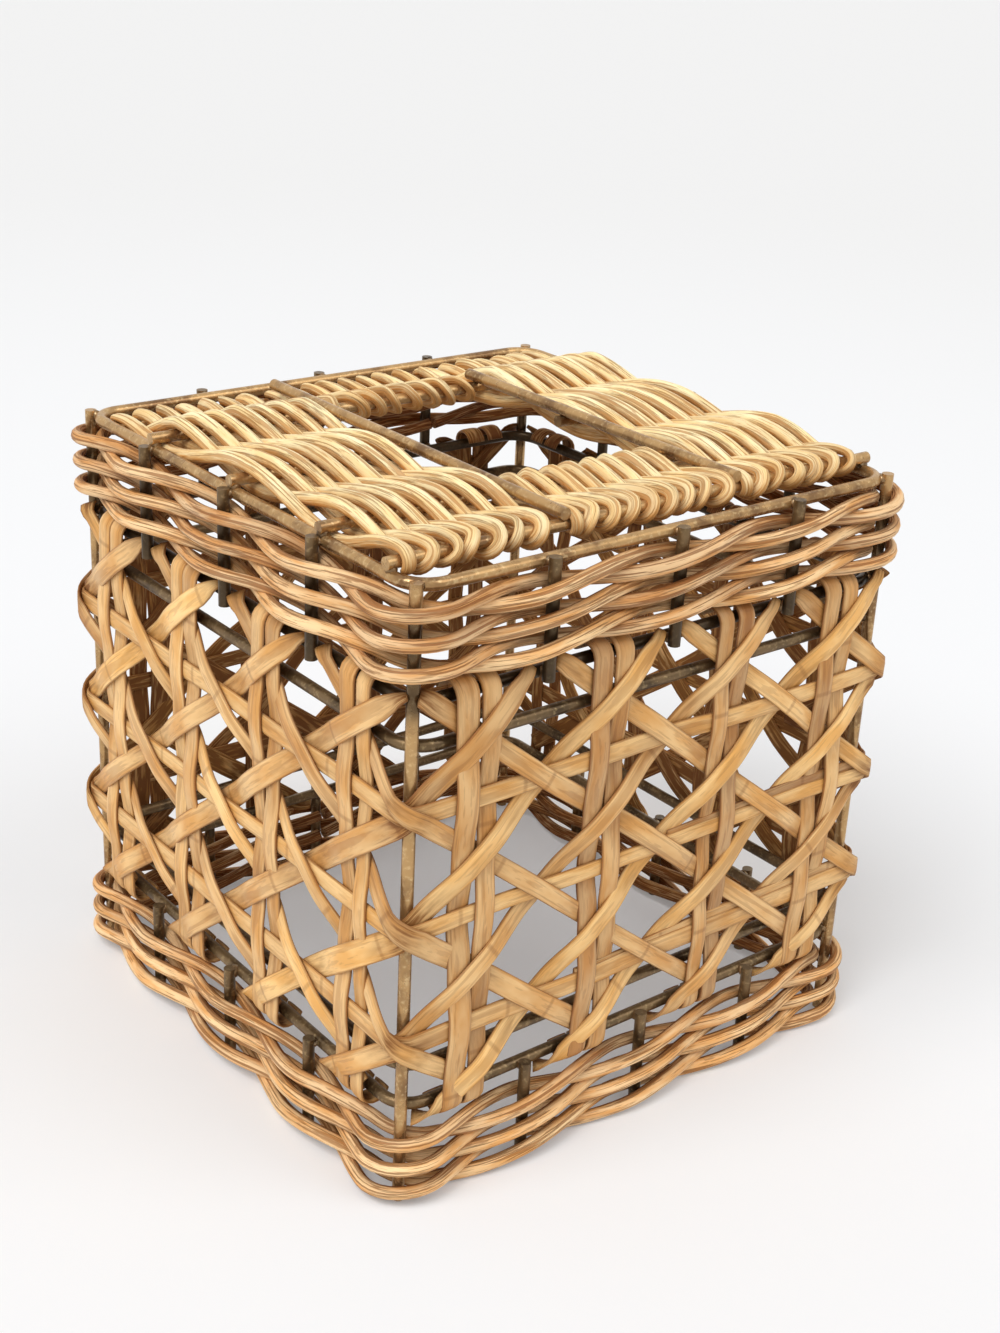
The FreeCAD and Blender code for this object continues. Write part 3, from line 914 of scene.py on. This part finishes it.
@dataclass
class TopWeave(Weave):
    """Four fields of strand woven over and under the spines of the top.

    A row holds a point of the strand, its share of the usual thickness, and how far it is pressed
    around a spine, from 0 to 1.
    """

    strand: float = 2.7 * MM
    thicknesses: Span = (0.88, 1.1)
    thickness_change: float = 0.05
    points_per_knot: int = 18
    flatness: float = 1.14
    pitch: float = 2.6 * MM
    stray: Span = (-0.25 * MM, 0.25 * MM)
    sway: Span = (-0.3 * MM, 0.3 * MM)
    lift: Span = (1.0, 1.12)
    turn_flat: float = 0.32
    turn_shade: float = 0.25
    turn_bulge: Span = (0.85, 1.2)
    turn_squash: Span = (0.0, 0.2)
    turn_skew: Span = (-1.1 * MM, 1.1 * MM)
    turn_steps: int = 9
    tuck: float = math.radians(140)
    tuck_steps: int = 8
    rail_space: float = 2.4 * MM
    leaning: int = 4
    step: float = 1.0 * MM
    fewest_steps: int = 6
    smoothing: int = 2
    deepest: float = 0.35
    tones: Span = (0.5, 0.8)

    @property
    def reach(self) -> float:
        """Distance from a spine's middle to the middle of a strand that crosses it."""
        return (self.plan.wire + self.strand) / 2

    @property
    def tight(self) -> float:
        """The same distance where the strand is pressed flat in a turn."""
        return (self.plan.wire + self.strand * (1 - self.turn_flat)) / 2

    def build(self) -> None:
        """Add the strand of each field."""
        plan = self.plan
        clear = (plan.wire + self.pitch) / 2
        outer = plan.ring_half - clear
        beside = plan.rail_line + clear
        inside = plan.rail_line - clear
        self.add_field("top_weave_left", plan.spines, -outer, -beside, 1)
        self.add_field("top_weave_right", plan.spines, beside, outer, 1, lean_first=-self.rail_space)
        self.add_field("top_weave_front", plan.spines[:2], -inside, inside, 1)
        self.add_field("top_weave_back", plan.spines[3:], -inside, inside, -1, lean_last=self.rail_space)

    def add_field(
        self,
        node: str,
        spines: tuple[Span, ...],
        first: float,
        last: float,
        over: int,
        lean_first: float = 0.0,
        lean_last: float = 0.0,
    ) -> None:
        """Add one field as a single strand that turns back around the outer spines.

        Args:
            node: CAD node that the strand stands for.
            spines: Place and height of each spine that the strand crosses.
            first: Where the first pass lies, left to right.
            last: Where the last pass lies.
            over: 1 where the first pass starts over its spine, -1 where it starts under it.
            lean_first: How far the first pass leans sideways at the back spine.
            lean_last: How far the last pass leans sideways at the back spine.
        """
        count = round((last - first) / self.pitch) + 1
        pitch = (last - first) / (count - 1)
        rows: list[Row] = []
        line, height = spines[0]
        for angle in np.linspace(self.tuck, 0.0, self.tuck_steps, endpoint=False):
            y = line - self.tight * math.sin(angle)
            rows.append((first, y, height + over * self.tight * math.cos(angle), 1.0, 1.0))
        for number in range(count):
            x = first + number * pitch + self.rng.uniform(*self.stray)
            lean = lean_first * max(0.0, 1 - number / self.leaning)
            lean += lean_last * max(0.0, 1 - (count - 1 - number) / self.leaning)
            thick = self.rng.uniform(*self.thicknesses)
            heading = 1 if number % 2 == 0 else -1
            order = spines[::heading]
            rows += self.crossing(order, x, lean, thick, over)
            over *= (-1) ** (len(order) - 1)
            if number < count - 1:
                x += lean if heading > 0 else 0.0
                rows += self.turn(order[-1], x, pitch, heading, thick, over)
                over = -over
        traced = np.array(rows)
        path, shares, turned = traced[:, :3].copy(), traced[:, 3], traced[:, 4]
        for _ in range(self.smoothing):
            path[1:-1] = (path[:-2] + 2 * path[1:-1] + path[2:]) / 4
        total = len(path)
        change = self.thickness_change * smooth_noise(total, total // self.points_per_knot, self.rng)
        thick = self.strand * shares * (1 + change)
        flattened = thick * (1 - self.turn_flat * turned)
        lines, heights = np.array(spines).T
        above = path[:, 2] - np.interp(path[:, 1], lines, heights)
        # painted shade: the strand is darker where it dips under a spine and where it turns round one
        depth = self.deepest * ease(-above, -self.reach, self.reach) + self.turn_shade * turned
        normals = carried_normals(path, UP)
        tone = self.rng.uniform(*self.tones)
        seen = np.tile(UP, (total, 1))
        mesh = StrandMesh(f"strand_{node}")
        mesh.sweep(path, normals, TOP_ROUND, thick * self.flatness, flattened, tone, depth, seen)
        self.place(mesh, Slot.TOP, [node])

    def crossing(
        self, spines: tuple[Span, ...], x: float, lean: float, thick: float, over: int
    ) -> list[Row]:
        """Lay the strand once over and under the spines by turns.

        Args:
            spines: Place and height of each spine, in the order of this pass.
            x: Where the pass lies, left to right.
            lean: How far it leans sideways at the back spine.
            thick: Share of the usual thickness.
            over: 1 where the pass starts over its spine, -1 where it starts under it.

        Returns:
            The rows of the pass.
        """
        rows = []
        sway = self.rng.uniform(*self.sway)
        back_inner, back = self.plan.spines[-2][0], self.plan.spines[-1][0]
        for (start, low), (end, high) in zip(spines, spines[1:]):
            lift = self.reach * self.rng.uniform(*self.lift)
            is_first, is_last = start == spines[0][0], end == spines[-1][0]
            lift_first = self.tight if is_first else lift
            lift_last = self.tight if is_last else lift
            steps = max(self.fewest_steps, round(abs(end - start) / self.step))
            for share in np.arange(steps) / steps:
                y = start + (end - start) * share
                behind = min(max((y - back_inner) / (back - back_inner), 0.0), 1.0)
                side = x + lean * behind + sway * math.sin(math.pi * share)
                swing = math.cos(math.pi * share) * (lift_first + (lift_last - lift_first) * share)
                near_first = 1 - 2 * share if is_first else 0.0
                near_last = 2 * share - 1 if is_last else 0.0
                z = low + (high - low) * share + over * swing
                rows.append((side, y, z, thick, max(near_first, near_last, 0.0)))
            over = -over
        return rows

    def turn(
        self, spine: Span, x: float, pitch: float, heading: int, thick: float, over: int
    ) -> list[Row]:
        """Lay the strand half around an outer spine, from one pass to the next.

        Args:
            spine: Place and height of the spine.
            x: Where the pass before the turn ends, left to right.
            pitch: Distance to the next pass.
            heading: 1 where the turn lies behind the spine, -1 where it lies in front of it.
            thick: Share of the usual thickness.
            over: 1 where the turn starts over the spine, -1 where it starts under it.

        Returns:
            The rows of the turn.
        """
        rows = []
        line, height = spine
        bulge = self.tight * self.rng.uniform(*self.turn_bulge)
        squash = self.rng.uniform(*self.turn_squash)
        skew = self.rng.uniform(*self.turn_skew)
        for angle in np.arange(self.turn_steps) / self.turn_steps * math.pi:
            bend = math.sin(angle)
            shift = pitch * (1 - math.cos(angle)) / 2 + skew * bend
            rise = over * self.tight * math.cos(angle) * (1 - squash * bend)
            rows.append((x + shift, line + heading * bulge * bend, height + rise, thick, 1.0))
        return rows


@dataclass
class CanePanels(Weave):
    """Flat strips on the four sides: uprights in pairs, hoops and two sets of diagonals."""

    upright_width: float = 4.95 * MM
    rising_width: float = 5.2 * MM
    falling_width: float = 4.7 * MM
    hoop_width: float = 4.6 * MM
    tail_width: float = 3.4 * MM
    width_change: Wander = Wander(0.06, 6)
    widths: Span = (0.84, 1.1)
    thickness: float = 1.0 * MM
    layer: float = 1.0 * MM
    upright_layer: float = 0.85 * MM
    middle: float = 3.3 * MM
    pair_gap: float = 0.6 * MM
    pair_sway: Wander = Wander(0.9 * MM, 4)
    upright_sway: Wander = Wander(0.35 * MM, 5)
    diagonal_sway: Wander = Wander(1.1 * MM, 4)
    hoop_sway: Wander = Wander(0.5 * MM, 24)
    step: float = 1.2 * MM
    lower_share: float = 0.68
    upper_share: float = 0.82
    upright_hook: float = math.radians(165)
    hoop_reach: Span = (0.8 * MM, 10.5 * MM)
    rising_hook: float = math.radians(80)
    rising_free: float = 7.0 * MM
    falling_start: float = 1.9 * MM
    diagonal_hook: float = math.radians(40)
    pair_reach: float = 1.6 * MM
    crossing_reach: float = 3.2 * MM
    point_length: float = 7.0 * MM
    point_width: float = 0.4
    hoop_start: float = 2.5
    tails: dict[str, Span] = field(
        default_factory=lambda: {"cane_hoop_middle": (0.52, 1.2), "cane_hoop_lower": (0.34, 1.05)}
    )
    tail_lift: float = 1.2 * MM
    tail_climb: float = 1.6 * MM
    tail_climb_end: float = 0.5
    tail_sink: float = 0.45 * MM
    # per side the tones also hold painted light: the front uprights are painted darker and the left ones
    # lighter
    upright_tones_with_painted_side_light: dict[str, Span] = field(
        default_factory=lambda: {
            "front": (-0.15, 0.4),
            "right": (0.1, 0.7),
            "back": (0.1, 0.7),
            "left": (0.35, 0.75),
        }
    )
    diagonal_tones: Span = (0.3, 1.0)
    hoop_tones: Span = (0.2, 0.8)
    tail_tones: Span = (0.0, 0.5)
    # deepest sets the painted shade of the back layer; the corner fields set how far from a corner and how
    # much the strips darken
    deepest: float = 0.3
    corner_reach: float = 4.5 * MM
    corner_level: float = 0.65
    corner_change: float = 0.35

    def __post_init__(self) -> None:
        """Work out the lines that the strips follow."""
        plan = self.plan
        self.line = RoundedSquare(plan.ring_half + self.middle, self.middle)
        self.cell = self.line.side / PAIRS_PER_SIDE
        self.pitch = (plan.upper_ring - plan.lower_ring) / (2 + self.lower_share + self.upper_share)
        self.hoops = [plan.lower_ring + (self.lower_share + number) * self.pitch for number in range(3)]
        self.slope = self.pitch / self.cell
        self.pair_half = (self.upright_width + self.pair_gap) / 2

    def build(self) -> None:
        """Add every strip, grouped as the CAD nodes are."""
        for name, height in zip(("upper", "middle", "lower"), reversed(self.hoops)):
            self.add_hoop(f"cane_hoop_{name}", height)
        for number, side in enumerate(SIDES):
            first = number * PAIRS_PER_SIDE
            uprights = StrandMesh(f"cane_strips_uprights_{side}")
            for pair in range(PAIRS_PER_SIDE):
                self.add_pair(uprights, (first + pair + 0.5) * self.cell, self.upright_tones_with_painted_side_light[side])
            self.place(uprights, Slot.CANE, [f"cane_uprights_{side}"])
            for kind, rising in (("rising", 1.0), ("falling", -1.0)):
                strips = StrandMesh(f"cane_strips_{kind}_{side}")
                for node in range(first, first + PAIRS_PER_SIDE):
                    self.add_diagonal(strips, node, rising)
                self.place(strips, Slot.CANE, [f"cane_{kind}_{side}"])

    def strip(
        self,
        mesh: StrandMesh,
        around: Array,
        height: Array,
        outward: Array,
        width: float,
        tone: float,
        taper: float = 0.0,
    ) -> None:
        """Add a strip of uneven width; past a ring its height winds round that ring.

        It gets painted shade in the back layer, and is also darker where it is bent round a corner.

        Args:
            mesh: Mesh that takes the strip.
            around: Places along the frame line.
            height: Heights of the places.
            outward: Distances of the places from the ring wires' middle.
            width: Usual width of the strip.
            tone: Shade of the strip, mostly from 0 to 1.
            taper: Length over which the upper end narrows to a point, or 0.
        """
        count = len(around)
        point, normal = self.line.at(around, outward - self.middle)
        ring = np.clip(height, self.plan.lower_ring, self.plan.upper_ring)
        wrap = ((height - ring) / outward)[:, None]
        face = normal * np.cos(wrap) + UP * np.sin(wrap)
        path = point - normal * outward[:, None] + face * outward[:, None] + ring[:, None] * UP
        widths = width * (1 + self.width_change.along(count, self.rng)) * self.rng.uniform(*self.widths)
        if taper:
            left = np.linspace(1.0, 0.0, count) * count * self.step / taper
            widths *= np.clip(self.point_width + (1 - self.point_width) * left, self.point_width, 1.0)
        # painted shade: strips in the back layer are darker
        layers = ease(-outward, -self.middle - self.layer, self.layer - self.middle)
        # darker near the corners, by an uneven amount
        corners = around / self.line.side
        from_corner = np.abs(corners - np.round(corners)) * self.line.side
        darkening = np.exp(-((from_corner / self.corner_reach) ** 2))
        uneven = self.corner_level + self.corner_change * smooth_noise(count, count // 2, self.rng)
        depth = np.clip(self.deepest * layers + darkening * uneven, 0.0, 1.0)
        mesh.sweep(path, face, FLAT, widths, np.full(count, self.thickness), tone, depth, normal)

    def add_pair(self, mesh: StrandMesh, middle: float, tones: Span) -> None:
        """Add two upright strips side by side that pass the hoops in front and behind by turns.

        Args:
            mesh: Mesh that takes the strips.
            middle: Place of the pair along the frame line.
            tones: Lowest and highest tone of the strips, which on some sides also holds painted light.
        """
        wrap = self.middle * self.upright_hook
        low, high = self.plan.lower_ring - wrap, self.plan.upper_ring + wrap
        height = np.linspace(low, high, round((high - low) / self.step))
        pair = middle + self.pair_sway.along(len(height), self.rng)
        for place, front in ((-self.pair_half, 1.0), (self.pair_half, -1.0)):
            outward = np.full_like(height, self.middle)
            for hoop in self.hoops:
                outward += front * self.upright_layer * (1 - ease(np.abs(height - hoop), *self.hoop_reach))
                front = -front
            around = pair + place + self.upright_sway.along(len(height), self.rng)
            self.strip(mesh, around, height, outward, self.upright_width, self.rng.uniform(*tones))

    def add_diagonal(self, mesh: StrandMesh, node: int, rising: float) -> None:
        """Add a slanting strip; rising ones pass in front of the uprights, falling ones behind.

        Args:
            mesh: Mesh that takes the strip.
            node: Number of the gap between pairs where the strip crosses the middle hoop.
            rising: 1 for a rising strip, -1 for a falling one.
        """
        low_end = -self.rising_hook * self.middle if rising > 0 else self.falling_start
        low, high = self.plan.lower_ring + low_end, self.plan.upper_ring + self.diagonal_hook * self.middle
        height = np.linspace(low, high, round((high - low) / math.sin(math.atan(self.slope)) / self.step))
        around = node * self.cell + rising * (height - self.hoops[1]) / self.slope
        from_pair = np.abs(around / self.cell - np.floor(around / self.cell) - 0.5) * self.cell
        share = ease(from_pair, self.pair_reach, self.cell / 2 - self.crossing_reach)
        past_low = height < self.hoops[0] - self.pitch / 2
        past_high = (height > self.hoops[2] + self.pitch / 2) & (rising < 0)
        share = np.where(past_low | past_high, 0.0, share)
        outward = self.middle + rising * self.layer * (1 - 2 * share)
        width, taper = self.falling_width, 0.0
        if rising > 0:
            free = ease(height, self.plan.lower_ring - self.layer, self.plan.lower_ring + self.rising_free)
            inner = self.middle - self.thickness / 2
            outward = inner + (outward - inner) * free
            width, taper = self.rising_width, self.point_length
        around += self.diagonal_sway.along(len(height), self.rng)
        self.strip(mesh, around, height, outward, width, self.rng.uniform(*self.diagonal_tones), taper)

    def add_hoop(self, node: str, height: float) -> None:
        """Add a strip that runs once around the panels; some have a spare tail tucked in above it.

        Args:
            node: CAD node that the strip stands for.
            height: Height of the strip.
        """
        count = round(len(SIDES) * self.line.side / self.step)
        around = np.linspace(self.hoop_start, self.hoop_start + len(SIDES), count) * self.line.side
        level = height + self.hoop_sway.along(count, self.rng)
        mesh = StrandMesh(f"cane_strip_{node}")
        outward = np.full(count, self.middle)
        self.strip(mesh, around, level, outward, self.hoop_width, self.rng.uniform(*self.hoop_tones))
        if node in self.tails:
            first, last = self.tails[node]
            count = round((last - first) * self.line.side / self.step)
            around = np.linspace(first, last, count) * self.line.side
            climb = ease(np.linspace(0.0, 1.0, count), 0.0, self.tail_climb_end)
            level = height + self.tail_lift + self.tail_climb * climb
            outward = np.full(count, self.middle - self.tail_sink)
            self.strip(mesh, around, level, outward, self.tail_width, self.rng.uniform(*self.tail_tones))
        self.place(mesh, Slot.CANE, [node])


# Studio


@dataclass(frozen=True)
class PhotoCamera:
    """The camera that took the photo, fitted to the posts and rings; lengths in metres."""

    place: tuple[float, float, float] = (-0.25045, -0.31800, 0.25880)
    azimuth: float = math.radians(-39.15)
    elevation: float = math.radians(23.57)
    roll: float = math.radians(2.852)
    lens: float = 51.35
    sensor_width: float = 36.0
    clip_start: float = 0.01

    def build(self) -> None:
        """Add the camera and make it the scene's camera."""
        data = bpy.data.cameras.new("photo_camera")
        data.lens = self.lens
        data.sensor_width = self.sensor_width
        data.clip_start = self.clip_start
        camera = bpy.data.objects.new("photo_camera", data)
        heading = Matrix.Rotation(self.azimuth, 4, "Z")
        tilt = Matrix.Rotation(math.pi / 2 - self.elevation, 4, "X")
        roll = Matrix.Rotation(self.roll, 4, "Z")
        camera.matrix_world = Matrix.Translation(self.place) @ heading @ tilt @ roll
        bpy.context.scene.collection.objects.link(camera)
        bpy.context.scene.camera = camera


@dataclass(frozen=True)
class Lamp:
    """A wide, soft, distant lamp: where its light comes from, the angle it fills and its strength."""

    name: str
    direction: tuple[float, float, float]
    spread: float
    strength: float

    def build(self) -> None:
        """Add the lamp."""
        data = bpy.data.lights.new(self.name, "SUN")
        data.angle = self.spread
        data.energy = self.strength
        lamp = bpy.data.objects.new(self.name, data)
        lamp.location = self.direction
        lamp.rotation_euler = Vector(self.direction).to_track_quat("Z", "Y").to_euler()
        bpy.context.scene.collection.objects.link(lamp)


@dataclass(frozen=True)
class Studio:
    """A pale floor with a painted falloff of light that darkens it a little into the distance, white
    surroundings and two soft lamps.
    """

    floor_size: float = 16.0
    floor_cells: int = 8
    floor_roughness: float = 0.8
    floor_gloss: float = 0.1
    near_floor: Color = (0.862, 0.87, 0.885, 1.0)
    far_floor: Color = (0.8, 0.8, 0.8, 1.0)
    near_glow: Color = (0.985, 0.985, 0.985, 1.0)
    far_glow: Color = (0.885, 0.88, 0.87, 1.0)
    painted_falloff: Span = (0.15, 1.2)
    glow_share: float = 0.18
    world_color: Color = (1.0, 1.0, 1.0, 1.0)
    world_light: float = 0.475
    world_seen: float = 0.9
    lamps: tuple[Lamp, ...] = (
        Lamp("key_lamp", (-0.6, -0.1, 0.85), math.radians(40), 1.9),
        Lamp("fill_lamp", (0.35, -0.6, 0.75), math.radians(36), 0.65),
    )

    def build(self) -> None:
        """Add the floor, the world and the lamps."""
        self.add_floor()
        self.add_world()
        for lamp in self.lamps:
            lamp.build()

    def add_floor(self) -> None:
        """Add a large pale floor that keeps the object's soft shadow."""
        material, tree, shader = new_material("floor_white")
        distance = tree.add(
            "VectorMath", {0: tree.add("TexCoord").outputs["Object"]}, operation="LENGTH"
        ).outputs["Value"]
        # painted light falloff: the floor's colour and glow darken with the distance from the middle
        painted_falloff = tree.ramp(distance, *self.painted_falloff)
        look = {
            "Base Color": tree.mix(painted_falloff, self.near_floor, self.far_floor),
            "Roughness": self.floor_roughness,
            "Specular IOR Level": self.floor_gloss,
        }
        tree.feed(shader, look)
        glow = tree.add("Emission", {"Color": tree.mix(painted_falloff, self.near_glow, self.far_glow)})
        share = tree.math("MULTIPLY", tree.seen(), self.glow_share)
        both = tree.add("MixShader", {0: share, 1: shader.outputs[0], 2: glow.outputs[0]})
        tree.feed(material.node_tree.nodes["Material Output"], {"Surface": both.outputs[0]})
        bm = bmesh.new()
        cells = self.floor_cells
        bmesh.ops.create_grid(bm, x_segments=cells, y_segments=cells, size=self.floor_size / 2)
        floor = add_object("floor", bm, material)

    def add_world(self) -> None:
        """Light the scene evenly, and show a paler world to camera, glossy and transmission rays."""
        world = bpy.data.worlds.new("white_studio")
        bpy.context.scene.world = world
        world.use_nodes = True
        tree = ShaderTree(world.node_tree)
        more = self.world_seen - self.world_light
        strength = tree.math("MULTIPLY_ADD", tree.seen(), more, self.world_light)
        background = world.node_tree.nodes["Background"]
        tree.feed(background, {"Color": self.world_color, "Strength": strength})


def main() -> None:
    """Build the dressed object and its studio."""
    logging.basicConfig(level=logging.INFO)
    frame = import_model()
    bpy.context.scene.view_settings.view_transform = "Standard"
    plan = Plan.read()
    materials = {finish.slot: finish.build() for finish in RATTAN_FINISHES}
    WireFrame(plan).build(frame["nodes"])
    WeldBeads(plan, random.Random(2)).build()
    TwinedBands(plan, materials, random.Random(3)).build()
    TopWeave(plan, materials, random.Random(5)).build()
    CanePanels(plan, materials, random.Random(7)).build()
    PhotoCamera().build()
    Studio().build()


if __name__ == "__main__":
    main()
